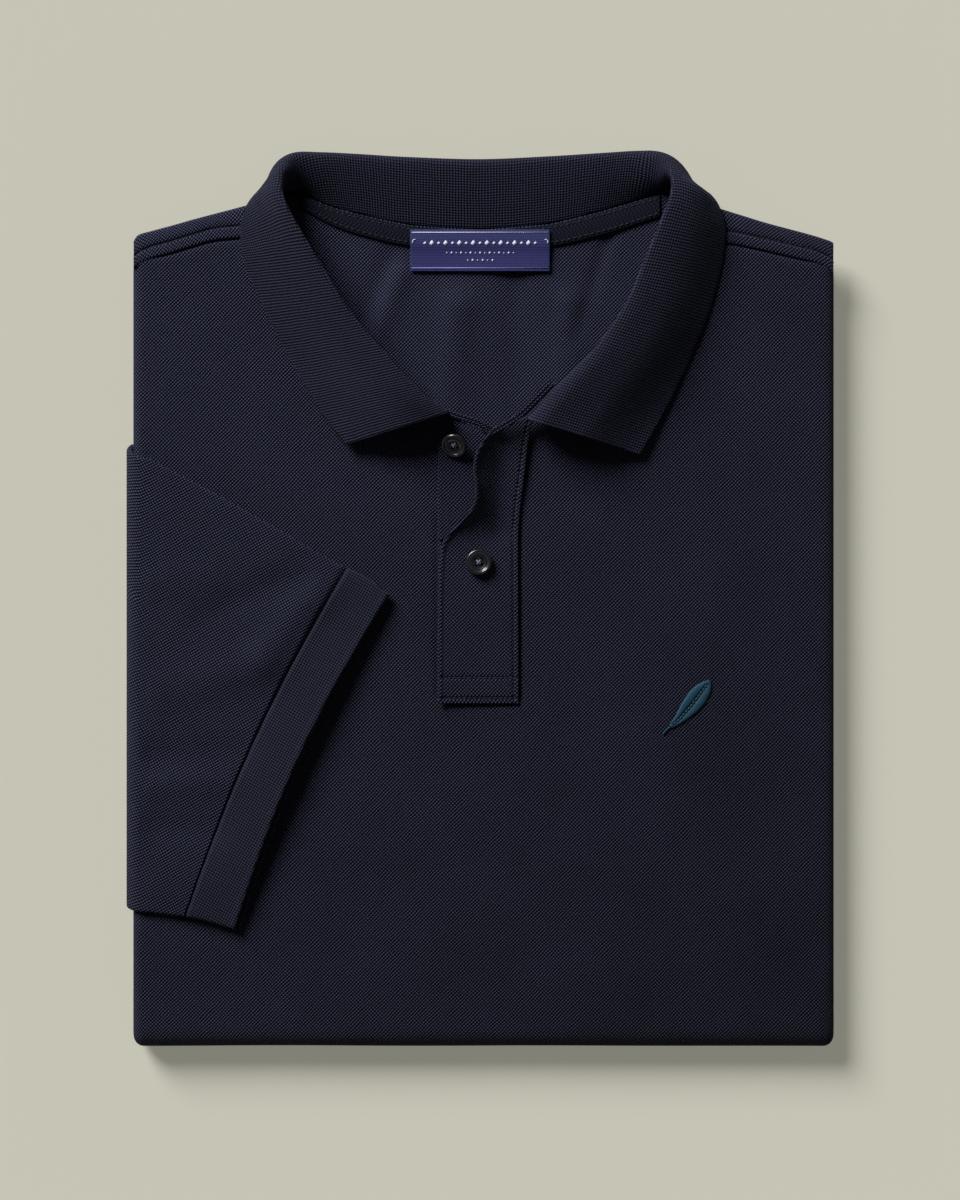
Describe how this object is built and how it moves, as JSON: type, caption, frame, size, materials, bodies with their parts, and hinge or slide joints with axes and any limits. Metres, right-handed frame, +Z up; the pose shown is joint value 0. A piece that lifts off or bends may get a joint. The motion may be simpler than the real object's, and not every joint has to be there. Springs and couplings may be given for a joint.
{
  "type": "folded polo shirt",
  "caption": "Short-sleeved pique knit polo shirt, retail-folded flat, with rib collar, buttoned placket, neck tape, woven neck label and a sleeve laid over the front.",
  "frame": {"origin": "centre of the bounding box on the surface the folded shirt rests on", "axes": "+X towards the wearer's left side, +Y from the bottom fold to the collar, +Z up from the table through the front"},
  "size_m": [0.3404, 0.4305, 0.0379],
  "materials": {
    "pique_front": "navy cotton pique knit, matte",
    "pique_back": "navy cotton pique knit, inside face",
    "pique_hidden": "navy cotton pique knit, folded layers",
    "pique_sleeve": "navy cotton pique knit, matte",
    "rib_cuff": "navy cotton rib knit, matte",
    "rib_collar": "navy cotton flat-knit rib, matte",
    "neck_tape": "navy herringbone cotton tape",
    "woven_label": "violet-blue damask-woven polyester, soft sheen",
    "pique_placket": "navy cotton pique knit, matte",
    "button": "smoke-navy polyester resin, polished",
    "embroidery": "teal rayon embroidery thread"
  },
  "bodies": {
    "root": {"front_panel": "pique_front", "back_panel": "pique_back", "folded_layers": "pique_hidden", "sleeve_right": "pique_sleeve", "cuff_right": "rib_cuff", "collar": "rib_collar", "neck_tape": "neck_tape", "label": "woven_label", "placket_over": "pique_placket", "placket_under": "pique_placket", "button_top": "button", "button_second": "button", "motif": "embroidery"}
  },
  "joints": []
}
